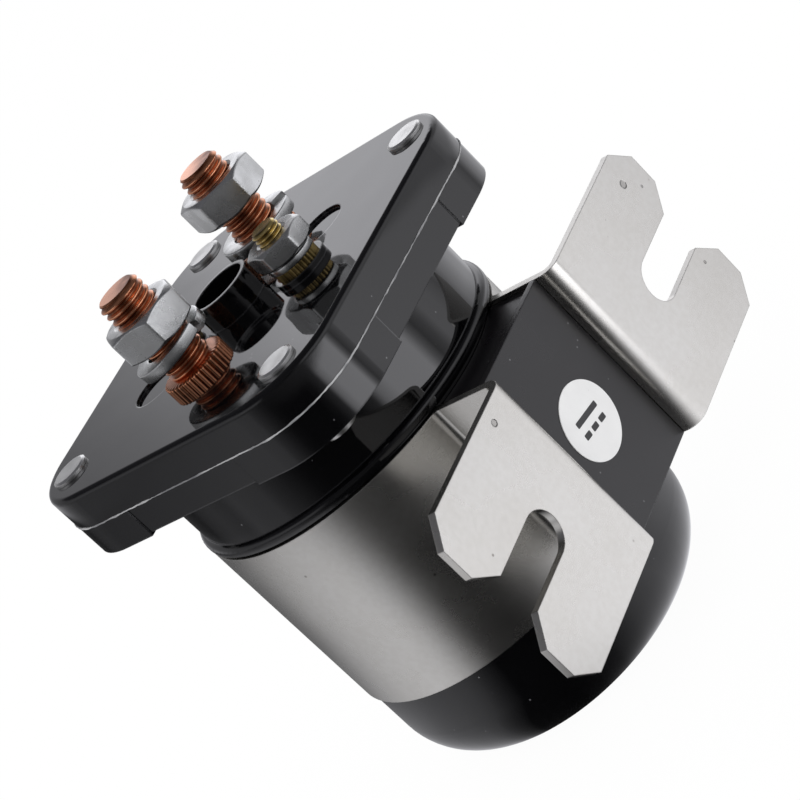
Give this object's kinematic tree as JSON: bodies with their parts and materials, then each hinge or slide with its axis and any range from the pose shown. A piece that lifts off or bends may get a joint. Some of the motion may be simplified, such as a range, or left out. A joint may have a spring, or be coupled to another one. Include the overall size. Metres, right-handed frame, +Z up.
{
  "type": "dc contactor",
  "caption": "Direct-current contactor: round moulded can, square terminal cover with copper and brass studs, and a plated strap bracket with slotted ears.",
  "frame": {"origin": "centre of the can's flat base, on the can's axis", "axes": "+Z up the can towards the terminals; the bracket's ears spread along X and their mounting plane faces -Y"},
  "size_m": [0.0876, 0.0763, 0.0998],
  "materials": {
    "black_moulding": "glossy black moulding",
    "black_panel": "satin black",
    "white_label": "plain white",
    "plated_strap": "nickel-plated sheet steel",
    "plated_fastener": "bright zinc plate",
    "rivet_metal": "plain turned head",
    "stud_copper": "bare copper",
    "stud_brass": "bare brass",
    "magnet_steel": "plain steel",
    "spring_steel": "drawn wire",
    "winding_copper": "enamelled wire",
    "bobbin_nylon": "natural nylon",
    "bumper_rubber": "black rubber"
  },
  "bodies": {
    "contactor": {"lower_cup": "black_moulding", "coil_housing": "black_moulding", "terminal_cover": "black_moulding", "front_panel": "black_panel", "round_label": "white_label", "mounting_bracket": "plated_strap", "main_lock_washer_right": "plated_fastener", "main_lock_washer_left": "plated_fastener", "coil_lock_washer_front": "plated_fastener", "coil_lock_washer_back": "plated_fastener", "cover_rivet_back_right": "rivet_metal", "cover_rivet_back_left": "rivet_metal", "cover_rivet_front_left": "rivet_metal", "cover_rivet_front_right": "rivet_metal", "main_stud_right": "stud_copper", "main_stud_left": "stud_copper", "coil_stud_front": "stud_brass", "coil_stud_back": "stud_brass", "guide_tube": "stud_brass", "lower_flux_plate": "magnet_steel", "upper_flux_plate": "magnet_steel", "flux_shell": "magnet_steel", "fixed_core": "magnet_steel", "return_spring": "spring_steel", "coil_winding": "winding_copper", "coil_lead_front": "winding_copper", "coil_lead_back": "winding_copper", "bobbin": "bobbin_nylon", "rest_bumper": "bumper_rubber"},
    "armature": {"plunger": "magnet_steel", "plunger_rod": "magnet_steel", "spring_seat": "magnet_steel", "rod_clip": "magnet_steel", "contact_spring": "spring_steel"},
    "bridge": {"contact_bridge": "stud_copper", "bridge_bushing": "bobbin_nylon", "bridge_washer": "magnet_steel"},
    "main_nut_right": {"main_nut_right": "plated_fastener"},
    "main_nut_left": {"main_nut_left": "plated_fastener"},
    "coil_nut_front": {"coil_nut_front": "plated_fastener"},
    "coil_nut_back": {"coil_nut_back": "plated_fastener"}
  },
  "joints": [
    {"name": "plunger_travel", "type": "slide", "parent": "contactor", "child": "armature", "axis": [0, 0, 1], "range_m": [0, 0.003], "stiffness_N_per_m": 400, "springref_m": -0.01, "deforming": ["return_spring"]},
    {"name": "contact_overtravel", "type": "slide", "parent": "armature", "child": "bridge", "axis": [0, 0, -1], "range_m": [0, 0.001], "stiffness_N_per_m": 1500, "springref_m": -0.002, "deforming": ["contact_spring"]},
    {"name": "main_nut_right_turn", "type": "hinge", "parent": "contactor", "child": "main_nut_right", "pos_m": [0.015, 0, 0.0896], "axis": [0, 0, 1], "continuous": true},
    {"name": "main_nut_left_turn", "type": "hinge", "parent": "contactor", "child": "main_nut_left", "pos_m": [-0.015, 0, 0.0896], "axis": [0, 0, 1], "continuous": true},
    {"name": "coil_nut_front_turn", "type": "hinge", "parent": "contactor", "child": "coil_nut_front", "pos_m": [0, -0.0165, 0.0896], "axis": [0, 0, 1], "continuous": true},
    {"name": "coil_nut_back_turn", "type": "hinge", "parent": "contactor", "child": "coil_nut_back", "pos_m": [0, 0.0165, 0.0896], "axis": [0, 0, 1], "continuous": true}
  ]
}
